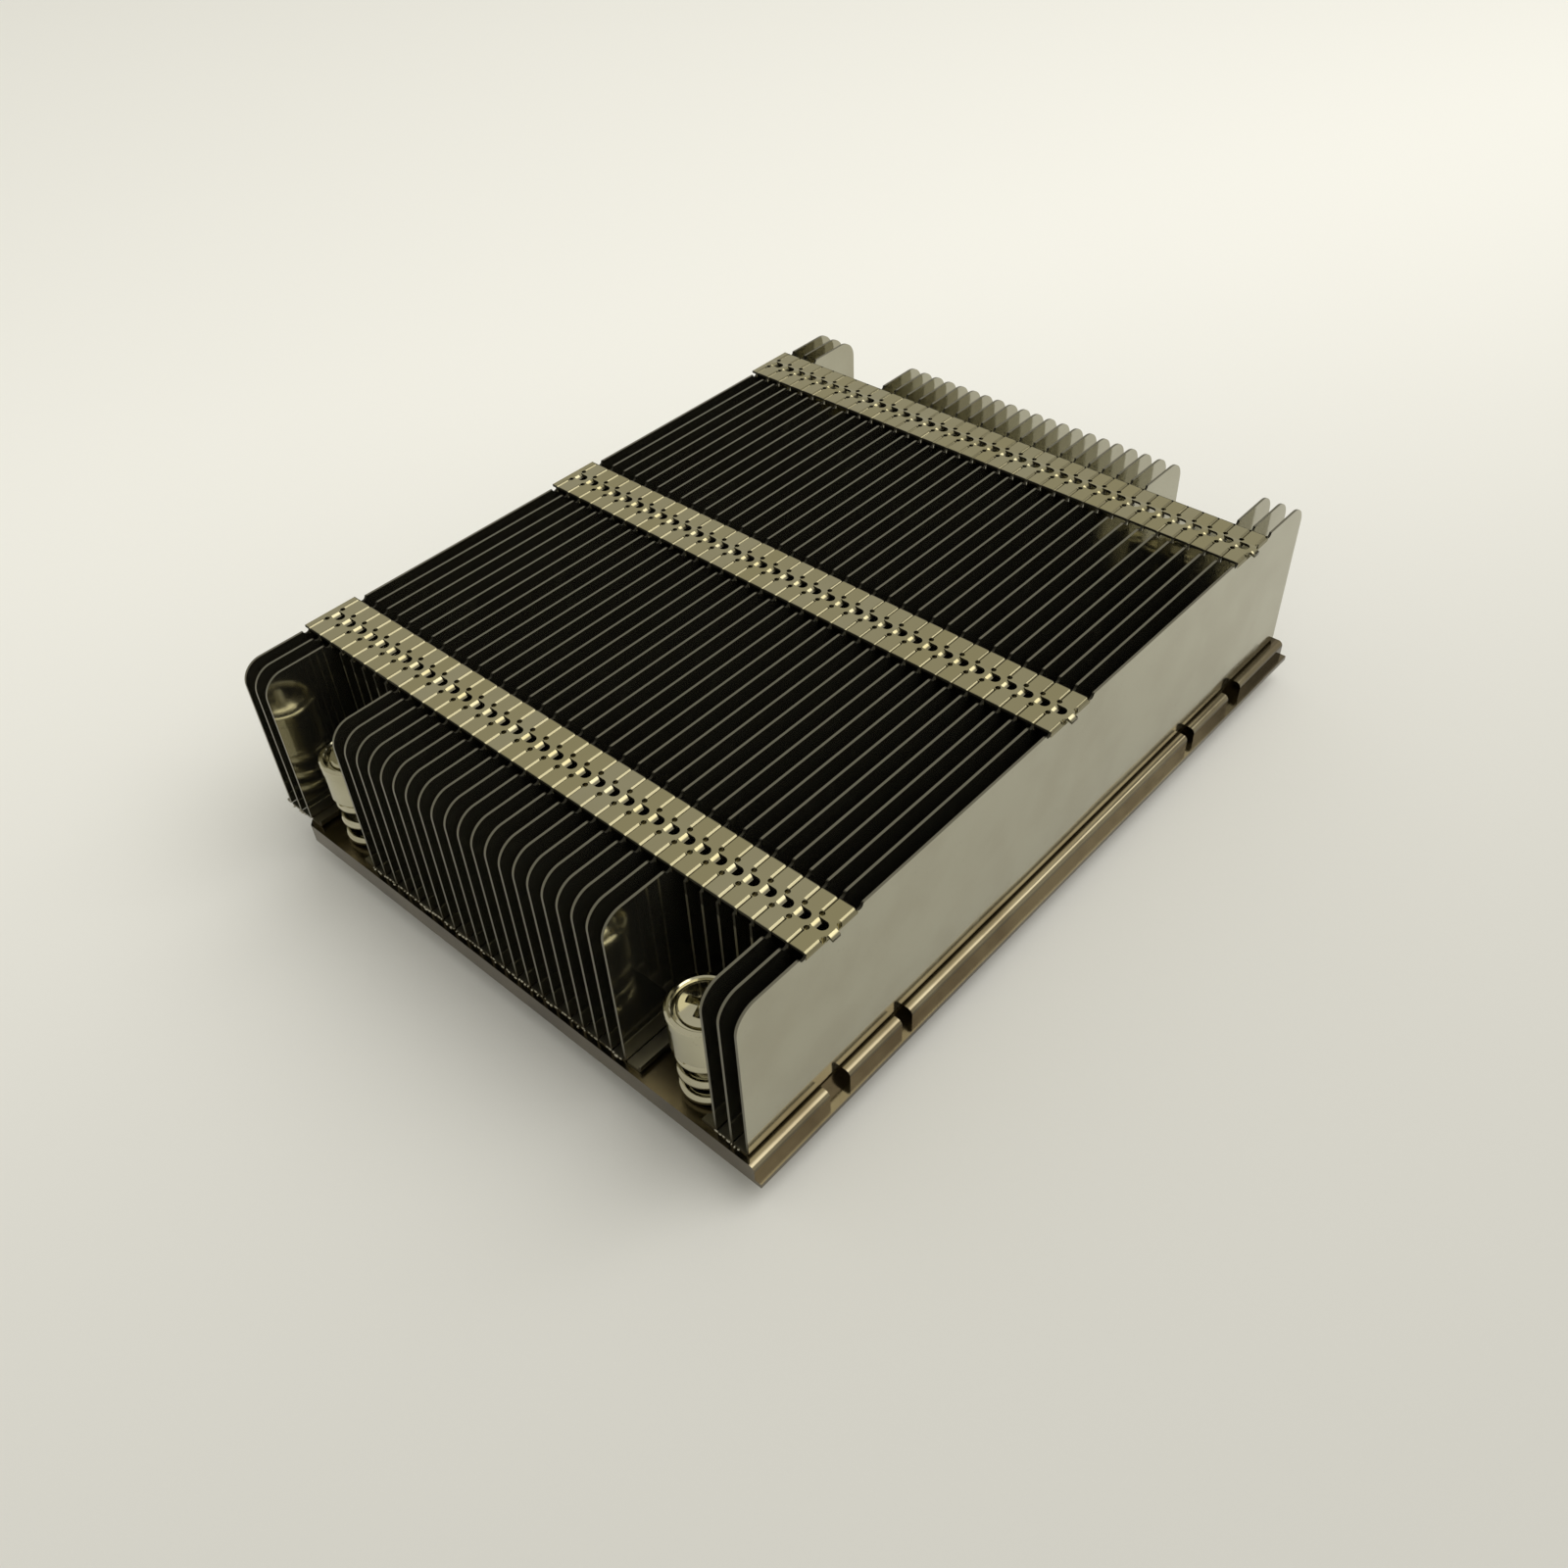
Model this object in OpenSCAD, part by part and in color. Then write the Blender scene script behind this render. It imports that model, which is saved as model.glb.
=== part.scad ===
// Passive processor cooler: a stack of folded zipper fins on a plated base plate,
// held down by four captive spring screws that stand in pockets at its corners.
// X runs across the fins, Y along them, Z up. The origin is the centre of the contact face.

/* [Base plate] */
// Distance that the plate stands out past the ends of the fins
base_past_fins = 0.7; // [0.2:0.1:2]
// Distance that the first fin stands out past the plate's left side
fin_overhang = 1.77; // [0:0.01:2]
// Distance from the plate's right side to the outer face of the last fin
fin_inset = 1.25; // [0.5:0.05:3]
// Thickness of the plate
base_t = 2.6; // [2:0.1:5]
// Width that each thin lip stands out past the side of the plate
lip_w = 0.8; // [0.3:0.1:2]
// Thickness of the lip
lip_t = 0.6; // [0.3:0.1:1.2]
// Depth of the notches in the side rails, measured inwards from the rail's face
rail_w = 1.25; // [0.6:0.05:2.5]
// Radius along the top edge of the side rails
rail_r = 0.7; // [0.2:0.1:1]
// Half length of the long rail in the middle of each side
long_rail_half = 27.6; // [15:0.1:28]
// Gap between the long rail and the short rail beyond it
short_rail_gap = 1.7; // [0.5:0.1:3]
// Length of the short rail
short_rail_len = 8.4; // [3:0.1:10]
// Gap between the short rail and the corner rail
corner_rail_gap = 3.1; // [1:0.1:5]
// Leg of the bevel on the front left corner of the plate
corner_bevel = 4.2; // [1:0.1:6]

/* [Contact pad] */
// Size of the raised contact pad across the fins
pad_w = 52; // [30:1:54]
// Size of the contact pad along the fins
pad_len = 60; // [30:1:80]
// Height that the pad stands out under the plate
pad_h = 3; // [2.6:0.1:6]
// Corner radius of the pad
pad_r = 3; // [1:0.5:8]

/* [Fins] */
// Number of fins
fin_count = 37; // [25:2:45]
// Distance from one fin to the next
fin_pitch = 2.12; // [1.8:0.02:2.4]
// Thickness of the fin sheet
fin_t = 0.3; // [0.2:0.05:0.45]
// Distance that the fins run past the screws' axes at each end
fin_past_screw = 4.3; // [3:0.1:8]
// Height of a fin, from the plate to its top
fin_h = 21.4; // [18:0.2:40]
// Radius of the fins' top corners
fin_corner_r = 2.7; // [1:0.1:6]
// Outer radius of the folds
fold_r = 0.5; // [0.5:0.05:0.7]
// Gap between a folded tab and the next sheet
fold_gap = 0.06; // [0.03:0.01:0.15]

/* [Pockets] */
// Least gap between a screw's head and the full fin on its right
head_gap = 0.1; // [0.05:0.05:1]
// Least room on the left of a screw's head before the next full fin
pocket_room = 2.65; // [1:0.05:5]
// Gap between the cut-back fins and the space round a spring
pocket_gap = 0.4; // [0.2:0.1:2]
// Height of the upright edge left on a foot strip that runs into a pocket
strip_lip = 0.5; // [0.2:0.1:1]

/* [Interlock stripes] */
// Width of each stripe of folded tabs
stripe_w = 7.05; // [5:0.05:7.5]
// Distance from an outer stripe to the pocket beyond it
stripe_margin = 0.375; // [0.1:0.005:3]
// Width of the slot that takes the neighbour's hook
slot_w = 1.25; // [0.9:0.05:1.6]
// Reach of that slot past the sheet, up to the centre of its round end
slot_reach = 0.95; // [0.6:0.05:1]
// Half length of the sharp bend in the middle of a fold, round the hook
bend_half = 1.45; // [1.2:0.05:2]
// Length of the hook along the fold
hook_len = 1.1; // [0.6:0.05:1.15]
// Distance that the hook reaches past the sheet into the slot
hook_reach = 0.55; // [0.3:0.05:0.8]
// Distance that the hook's end lies under the tab's top
hook_drop = 0.32; // [0.1:0.02:0.5]
// Distance from the middle of the hook to the small notches beside it
nick_offset = 1.1; // [0.95:0.05:1.6]
// Radius of those small notches
nick_r = 0.3; // [0.15:0.01:0.35]
// Radius of the relief at each end of a tab
relief_r = 0.45; // [0.2:0.05:0.6]

/* [Screws] */
// Spacing of the screws across the fins
screw_dx = 56; // [56:0.5:57]
// Spacing of the screws along the fins
screw_dy = 94; // [93:0.5:100]
// Diameter of the thread
thread_d = 4; // [3:0.1:4.4]
// Height from the plate to the underside of the screw's head
spring_h = 7; // [5.5:0.1:9]
// Height of the smooth part of the head
barrel_h = 3.9; // [2:0.1:5]
// Diameter of the smooth part
barrel_d = 7.7; // [7.2:0.1:7.8]
// Diameter of the collar round the top of the head
collar_d = 7.9; // [7.6:0.1:8]
// Height of the collar
collar_h = 1.3; // [0.9:0.1:2]
// Width of the collar's rim, from its outside to the ring groove in the top
rim_w = 0.7; // [0.4:0.1:1]
// Diameter of the middle of the head, inside the ring groove
crown_d = 5.6; // [4.5:0.1:6]
// Depth of the ring groove
crown_groove = 0.55; // [0.2:0.05:0.8]
// Height of the middle, from the ring groove's floor
crown_h = 0.6; // [0.3:0.1:1.2]
// Height of the screw's tip over the contact face
tip_z = 0.3; // [0.1:0.1:0.5]
// Clearance of the thread in the plate's hole, on the radius
hole_clearance = 0.6; // [0.3:0.1:1]

/* [Springs] */
// Diameter of the spring wire
wire_d = 1.1; // [0.6:0.1:1.2]
// Outer diameter of the spring
spring_d = 7.2; // [6.4:0.1:7.6]
// Closed turns at each end of the spring
closed_turns = 0.75; // [0.5:0.25:1.25]
// Open turns between them
open_turns = 2.25; // [1.5:0.25:3]
// Gap between the spring's ends and what they bear on
spring_gap = 0.02; // [0.01:0.01:0.1]
// Clearance of the fins' feet round a spring
foot_relief = 0.7; // [0.3:0.1:1]

/* [Retaining rings] */
// Outer diameter of the ring under the plate
ring_d = 6.8; // [6:0.1:7.5]
// Thickness of the ring
ring_t = 0.6; // [0.4:0.1:0.8]
// Depth of the groove that holds the ring
groove_depth = 0.5; // [0.3:0.05:0.7]
// Gap round the ring in its groove, and under the plate
ring_gap = 0.05; // [0.02:0.01:0.1]

/* [Hidden] */
base_top = pad_h + base_t;
fin_len = screw_dy + 2 * fin_past_screw;
base_len = fin_len + 2 * base_past_fins;
base_w = (fin_count - 1) * fin_pitch + fin_t + fin_inset - fin_overhang;
plate_half = base_w / 2;
core_half = plate_half - rail_w;
last_face = plate_half - fin_inset;
fin_half = fin_len / 2;
relief_circle_r = spring_d / 2 + foot_relief;
pocket_y = screw_dy / 2 - relief_circle_r - pocket_gap;
stripe_offset = pocket_y - stripe_margin - stripe_w / 2;
stripes = [-stripe_offset, 0, stripe_offset];
pocket_left = collar_d / 2 + pocket_room;
pocket_right = collar_d / 2 + head_gap + fin_t;
corners = [["front_left", -1, -1], ["front_right", 1, -1], ["rear_left", -1, 1], ["rear_right", 1, 1]];
ring_hole_r = thread_d / 2 - groove_depth + ring_gap;
ring_mouth = thread_d - 2 * groove_depth;
cut = 1;
round_fn = 48;
fold_fn = 24;
wire_sides = 10;
steps_per_turn = 26;

nickel = [0.66, 0.64, 0.55];
nickel_dark = [0.55, 0.52, 0.42];
bright = [0.78, 0.76, 0.68];

function two_digits(n) = str(n < 10 ? "0" : "", n);
function fin_name(i) = str("fin_", two_digits(i + 1));
function fin_x(i) = last_face - (fin_count - 1 - i) * fin_pitch;
function beside_screw(i, x) = fin_x(i) > x - pocket_left && fin_x(i) < x + pocket_right;
function in_pocket(i) = beside_screw(i, -screw_dx / 2) || beside_screw(i, screw_dx / 2);
function clears_screw(i, x) = fin_x(i) <= x - relief_circle_r || fin_x(i) - fin_pitch >= x + relief_circle_r;
function has_strip(i) = clears_screw(i, -screw_dx / 2) && clears_screw(i, screw_dx / 2);
function sheet_half(i) = in_pocket(i) ? pocket_y : fin_half;
function foot_half(i) = in_pocket(i) && !has_strip(i) ? pocket_y : fin_half;
function tab_len(i) = i == 0 ? 2 * fold_r : fin_pitch - fold_gap;

// Extrudes an X and Z outline along Y, from y0 over a length
module along_y(y0, length) {
    translate([0, y0 + length, 0]) rotate([90, 0, 0]) linear_extrude(length) children();
}

// Removes the material outside a rounded outer corner at the origin, facing the given way
module corner_cut(r, sx, sy) {
    difference() {
        translate([sx > 0 ? 0 : -r - cut, sy > 0 ? 0 : -r - cut]) square(r + cut);
        circle(r, $fn = round_fn);
    }
}

// One side rail with its rounded top edge, on the right side of the plate
module rail(y0, length) {
    along_y(y0, length) difference() {
        translate([core_half - cut, lip_t]) square([rail_w + cut, base_t - lip_t]);
        translate([plate_half - rail_r, base_t - rail_r]) corner_cut(rail_r, 1, 1);
    }
}

// The rails and the lip of one side
module side_edge() {
    short_start = long_rail_half + short_rail_gap;
    corner_start = short_start + short_rail_len + corner_rail_gap;
    rail(-long_rail_half, 2 * long_rail_half);
    for (start = [short_start, -short_start - short_rail_len]) rail(start, short_rail_len);
    corner_len = base_len / 2 - corner_start;
    for (start = [corner_start, -corner_start - corner_len]) rail(start, corner_len);
    along_y(-base_len / 2, base_len)
        translate([core_half - cut, 0]) square([rail_w + lip_w + cut, lip_t]);
}

module pad_outline() {
    w = pad_w / 2;
    l = pad_len / 2;
    difference() {
        square([pad_w, pad_len], center = true);
        for (sx = [-1, 1], sy = [-1, 1])
            translate([sx * (w - pad_r), sy * (l - pad_r)]) corner_cut(pad_r, sx, sy);
    }
}

module base_plate() {
    bevel_x = plate_half + lip_w;
    color(nickel_dark) difference() {
        union() {
            translate([-core_half, -base_len / 2, pad_h]) cube([2 * core_half, base_len, base_t]);
            translate([0, 0, pad_h]) side_edge();
            translate([0, 0, pad_h]) mirror([1, 0, 0]) side_edge();
            linear_extrude(pad_h + lip_t) pad_outline();
        }
        for (c = corners) translate([c[1] * screw_dx / 2, c[2] * screw_dy / 2, pad_h - cut])
            cylinder(h = base_t + 2 * cut, r = thread_d / 2 + hole_clearance, $fn = round_fn);
        translate([-bevel_x, -base_len / 2, pad_h - cut]) linear_extrude(base_t + 2 * cut)
            polygon([[-cut, -cut], [corner_bevel + cut, -cut], [-cut, corner_bevel + cut]]);
    }
}

// The flat sheet of a fin, drawn in Y and Z from the plate's top
module sheet_outline(i) {
    half = sheet_half(i);
    difference() {
        translate([-half, fold_r]) square([2 * half, fin_h - fold_r]);
        if (!in_pocket(i)) for (s = [-1, 1])
            translate([s * (half - fin_corner_r), fin_h - fin_corner_r]) corner_cut(fin_corner_r, s, 1);
        for (y = stripes) {
            translate([y - stripe_w / 2, fin_h - fold_r]) square([stripe_w, fold_r + cut]);
            for (s = [-1, 1]) translate([y + s * (stripe_w / 2 + relief_r), fin_h])
                circle(relief_r, $fn = fold_fn);
        }
    }
}

// A quarter fold in X and Z, from its flat leg's end to the upright sheet, top side up
module fold_outline() {
    translate([-fold_r, -fold_r]) intersection() {
        difference() {
            circle(fold_r, $fn = fold_fn);
            circle(fold_r - fin_t, $fn = fold_fn);
        }
        square(fold_r + cut);
    }
}

// The flat leg of a fold, in X and Z
module leg_outline(leg) {
    translate([-leg, -fin_t]) square([leg - fold_r, fin_t]);
}

// A sharp bend in place of the quarter fold
module bend_outline() {
    translate([-fold_r, -fin_t]) square([fold_r, fin_t]);
    translate([-fin_t, -fold_r]) square([fin_t, fold_r]);
}

// The hook that goes on from the tab, slopes down past the sheet and ends in the next slot
module hook_outline() {
    polygon([[-fold_r, 0], [0, 0], [hook_reach, -hook_drop], [hook_reach, -hook_drop - fin_t],
        [-fin_t, -fin_t], [-fold_r, -fin_t]]);
}

// One interlock tab at the top of a fin, with its hook, slot and small notches
module tab(i, y) {
    leg = tab_len(i);
    fold_len = stripe_w / 2 - bend_half;
    translate([0, y, fin_h]) {
        difference() {
            union() {
                along_y(-stripe_w / 2, stripe_w) leg_outline(leg);
                along_y(-bend_half, 2 * bend_half) bend_outline();
                for (y0 = [-stripe_w / 2, bend_half]) along_y(y0, fold_len) fold_outline();
            }
            for (s = [-1, 1]) translate([0, s * nick_offset, -fold_r])
                cylinder(h = fold_r + cut, r = nick_r, $fn = fold_fn);
            if (i > 0) translate([-fin_pitch, 0, -fin_t - cut]) {
                translate([-cut, -slot_w / 2, 0]) cube([slot_reach + cut, slot_w, fin_t + 2 * cut]);
                translate([slot_reach, 0, 0]) cylinder(h = fin_t + 2 * cut, r = slot_w / 2, $fn = fold_fn);
                for (s = [-1, 1]) translate([0, s * nick_offset, 0])
                    cylinder(h = fin_t + 2 * cut, r = nick_r, $fn = fold_fn);
            }
        }
        along_y(-hook_len / 2, hook_len) hook_outline();
    }
}

// The foot of a fin, folded the same way and open round the screws' springs
module foot(i) {
    half = foot_half(i);
    difference() {
        union() {
            mirror([0, 0, 1]) along_y(-half, 2 * half) {
                leg_outline(tab_len(i));
                fold_outline();
            }
            if (half > sheet_half(i)) translate([-fin_t, -half, fold_r])
                cube([fin_t, 2 * half, strip_lip]);
        }
        for (c = corners) translate([c[1] * screw_dx / 2 - fin_x(i), c[2] * screw_dy / 2, -cut])
            cylinder(h = fold_r + strip_lip + 2 * cut, r = relief_circle_r, $fn = round_fn);
    }
}

module fin(i) {
    color(nickel) translate([fin_x(i), 0, base_top]) {
        translate([-fin_t, 0, 0]) rotate([90, 0, 90]) linear_extrude(fin_t) sheet_outline(i);
        for (y = stripes) tab(i, y);
        foot(i);
    }
}

// Places a corner's pieces, with z measured from the plate's top
module at_corner(c) {
    translate([c[1] * screw_dx / 2, c[2] * screw_dy / 2, base_top]) children();
}

// Half outline of the screw: tip, thread, groove, barrel, rim, ring groove and crown
module screw_outline() {
    thread_r = thread_d / 2;
    groove_r = thread_r - groove_depth;
    tip = tip_z - base_top;
    tip_bevel = 0.4;
    groove_top = -base_t;
    groove_bottom = groove_top - ring_t - 2 * ring_gap;
    collar_z = spring_h + barrel_h;
    collar_top = collar_z + collar_h;
    collar_r = collar_d / 2;
    rim_r = collar_r - rim_w;
    crown_r = crown_d / 2;
    floor_z = collar_top - crown_groove;
    crown_top = floor_z + crown_h;
    edge_r = 0.3;
    step_h = 0.15;
    bevel = 0.15;
    polygon(concat(
        [[0, tip], [thread_r - tip_bevel, tip], [thread_r, tip + tip_bevel],
         [thread_r, groove_bottom], [groove_r, groove_bottom], [groove_r, groove_top],
         [thread_r, groove_top], [thread_r, spring_h], [barrel_d / 2 - bevel, spring_h],
         [barrel_d / 2, spring_h + bevel], [barrel_d / 2, collar_z], [collar_r, collar_z + step_h]],
        [for (a = [0:30:90]) [collar_r - edge_r + edge_r * cos(a), collar_top - edge_r + edge_r * sin(a)]],
        [[rim_r + bevel, collar_top], [rim_r, collar_top - bevel], [rim_r, floor_z], [crown_r, floor_z]],
        [for (a = [0:30:90]) [crown_r - edge_r + edge_r * cos(a), crown_top - edge_r + edge_r * sin(a)]],
        [[0, crown_top]]
    ));
}

// Tapered cross recess in the top of the head
module cross_recess() {
    wing_w = 0.95;
    recess_r = 1.9;
    recess_depth = 1.9;
    recess_draft = 0.7;
    intersection() {
        union() for (a = [0, 90]) rotate([0, 0, a])
            translate([-recess_r, -wing_w / 2, -recess_depth]) cube([2 * recess_r, wing_w, recess_depth + cut]);
        translate([0, 0, -recess_depth])
            cylinder(h = recess_depth + cut, r1 = wing_w / 2, r2 = recess_r + recess_draft, $fn = round_fn);
    }
}

module captive_screw(c) {
    head_top = spring_h + barrel_h + collar_h - crown_groove + crown_h;
    cross_angle = 22;
    color(bright) at_corner(c) difference() {
        rotate_extrude($fn = round_fn) screw_outline();
        translate([0, 0, head_top]) rotate([0, 0, cross_angle]) cross_recess();
    }
}

// Height of the wire's centre after a number of turns, closed at both ends
function wire_rise(turn) =
    let (total = 2 * closed_turns + open_turns,
         first = wire_d / 2 + spring_gap,
         last = spring_h - wire_d / 2 - spring_gap,
         closed_rise = closed_turns * wire_d,
         open_rise = last - first - 2 * closed_rise)
    turn < closed_turns ? first + turn * wire_d
    : turn > total - closed_turns ? last - (total - turn) * wire_d
    : first + closed_rise + open_rise * (turn - closed_turns) / open_turns;

module spring(c) {
    coil_r = (spring_d - wire_d) / 2;
    total = 2 * closed_turns + open_turns;
    rings = ceil(total * steps_per_turn);
    points = [for (k = [0:rings], s = [0:wire_sides - 1])
        let (turn = total * k / rings,
             a = 360 * turn,
             b = 360 * s / wire_sides,
             r = coil_r + wire_d / 2 * cos(b))
        [r * cos(a), r * sin(a), wire_rise(turn) + wire_d / 2 * sin(b)]];
    last = rings * wire_sides;
    skin = [for (k = [0:rings - 1], s = [0:wire_sides - 1])
        let (p = k * wire_sides, q = (s + 1) % wire_sides)
        [p + s, p + wire_sides + s, p + wire_sides + q, p + q]];
    start = [for (s = [0:wire_sides - 1]) s];
    end = [for (s = [wire_sides - 1:-1:0]) last + s];
    color(bright) at_corner(c) polyhedron(points, concat(skin, [start], [end]));
}

module retaining_ring(c) {
    color(nickel_dark) at_corner(c) translate([0, 0, -base_t - ring_gap - ring_t]) difference() {
        cylinder(h = ring_t, r = ring_d / 2, $fn = round_fn);
        translate([0, 0, -cut]) cylinder(h = ring_t + 2 * cut, r = ring_hole_r, $fn = round_fn);
        translate([0, -ring_mouth / 2, -cut]) cube([ring_d, ring_mouth, ring_t + 2 * cut]);
    }
}

base_plate();
for (i = [0:fin_count - 1]) {
    fin(i);
}
for (c = corners) {
    captive_screw(c);
    spring(c);
    retaining_ring(c);
}
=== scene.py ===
"""Looks of a passive processor cooler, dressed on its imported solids.

X runs across the fins, Y along them and Z up, in metres, as in the solids. The sizes in
the classes are millimetres, apart from the studio's, which are metres. What repeats is
grown by Geometry Nodes, and every finish is worked out in shader nodes.
"""

import logging
import math
from dataclasses import dataclass
from enum import Enum
from typing import Any, Optional, Union

import bpy
from mathutils import Matrix, Vector


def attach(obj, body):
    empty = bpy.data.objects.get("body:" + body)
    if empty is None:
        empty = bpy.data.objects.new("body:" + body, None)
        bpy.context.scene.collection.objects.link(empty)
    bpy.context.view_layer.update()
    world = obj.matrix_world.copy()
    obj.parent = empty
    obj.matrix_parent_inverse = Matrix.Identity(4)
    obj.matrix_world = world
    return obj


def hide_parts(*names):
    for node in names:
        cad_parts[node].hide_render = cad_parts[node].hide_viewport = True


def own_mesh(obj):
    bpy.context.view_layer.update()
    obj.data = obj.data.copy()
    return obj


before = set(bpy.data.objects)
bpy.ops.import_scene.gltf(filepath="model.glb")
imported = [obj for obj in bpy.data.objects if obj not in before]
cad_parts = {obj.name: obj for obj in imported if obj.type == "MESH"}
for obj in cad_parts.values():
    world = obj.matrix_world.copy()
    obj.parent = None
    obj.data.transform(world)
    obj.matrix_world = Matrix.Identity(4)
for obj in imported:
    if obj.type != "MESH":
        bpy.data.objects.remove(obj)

LOG = logging.getLogger("cooler")
MM = 0.001
Colour = tuple[float, float, float]
Pair = tuple[float, float]
Term = Union["Sock", float, int]
Values = dict[Union[str, int], Any]


class Sock:
    """A node socket that takes part in Python arithmetic on values."""

    def __init__(self, maker: "NodeMaker", socket: bpy.types.NodeSocket) -> None:
        """Keep the socket and the maker of its tree."""
        self.maker = maker
        self.socket = socket

    def calc(self, operation: str, *terms: Term) -> "Sock":
        """Add a Math node with this value as its first term."""
        return self.maker.math(operation, self, *terms)

    def __add__(self, other: Term) -> "Sock":
        """Add two values."""
        return self.maker.math("ADD", self, other)

    def __radd__(self, other: Term) -> "Sock":
        """Add two values."""
        return self.maker.math("ADD", other, self)

    def __sub__(self, other: Term) -> "Sock":
        """Take the other value from this one."""
        return self.maker.math("SUBTRACT", self, other)

    def __rsub__(self, other: Term) -> "Sock":
        """Take this value from the other one."""
        return self.maker.math("SUBTRACT", other, self)

    def __mul__(self, other: Term) -> "Sock":
        """Multiply two values."""
        return self.maker.math("MULTIPLY", self, other)

    def __rmul__(self, other: Term) -> "Sock":
        """Multiply two values."""
        return self.maker.math("MULTIPLY", other, self)

    def __truediv__(self, other: Term) -> "Sock":
        """Divide this value by the other one."""
        return self.maker.math("DIVIDE", self, other)


class NodeMaker:
    """Adds nodes to one shader or geometry tree."""

    def __init__(self, tree: bpy.types.NodeTree) -> None:
        """Keep the tree."""
        self.tree = tree

    def add(self, kind: str, settings: Optional[dict[str, Any]] = None,
            values: Optional[Values] = None) -> bpy.types.Node:
        """Add a node.

        Args:
            kind: the node's type name
            settings: properties, set before the values
            values: numbers, colours or Socks for the sockets, by identifier, name or index

        Returns:
            The node.
        """
        node = self.tree.nodes.new(kind)
        for name, value in (settings or {}).items():
            setattr(node, name, value)
        for key, value in (values or {}).items():
            self.feed(node, key, value)
        return node

    @staticmethod
    def entry(node: bpy.types.Node, key: Union[str, int]) -> bpy.types.NodeSocket:
        """Find an input socket.

        Args:
            node: the node that has it
            key: its index, identifier or name

        Returns:
            The socket; by name, the first one that is in use.
        """
        if isinstance(key, int):
            return node.inputs[key]
        for socket in node.inputs:
            if socket.identifier == key:
                return socket
        for socket in node.inputs:
            if socket.name == key and socket.enabled:
                return socket
        raise KeyError(f"{node.bl_idname} has no input {key!r}")

    def feed(self, node: bpy.types.Node, key: Union[str, int], value: Any) -> None:
        """Link or set one input of a node.

        Args:
            node: the node
            key: the input's index, identifier or name
            value: a Sock to link, or a plain value
        """
        socket = self.entry(node, key)
        if isinstance(value, Sock):
            self.tree.links.new(value.socket, socket)
        elif isinstance(value, tuple) and socket.type == "RGBA":
            socket.default_value = (*value, 1.0)
        else:
            socket.default_value = value

    def out(self, node: bpy.types.Node, key: Union[str, int] = 0) -> Sock:
        """Wrap an output of a node.

        Args:
            node: the node
            key: the output's index, identifier or name

        Returns:
            The output.
        """
        if isinstance(key, int):
            return Sock(self, node.outputs[key])
        for socket in node.outputs:
            if socket.identifier == key:
                return Sock(self, socket)
        return Sock(self, node.outputs[key])

    def math(self, operation: str, *terms: Term) -> Sock:
        """Add a Math node on values."""
        node = self.add("ShaderNodeMath", {"operation": operation}, dict(enumerate(terms)))
        return self.out(node)

    def xyz(self, vector: Sock) -> tuple[Sock, Sock, Sock]:
        """Split a vector."""
        node = self.add("ShaderNodeSeparateXYZ", values={0: vector})
        return self.out(node, 0), self.out(node, 1), self.out(node, 2)

    def vector(self, x: Term, y: Term, z: Term) -> Sock:
        """Join three values to a vector."""
        return self.out(self.add("ShaderNodeCombineXYZ", values={0: x, 1: y, 2: z}))


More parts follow.
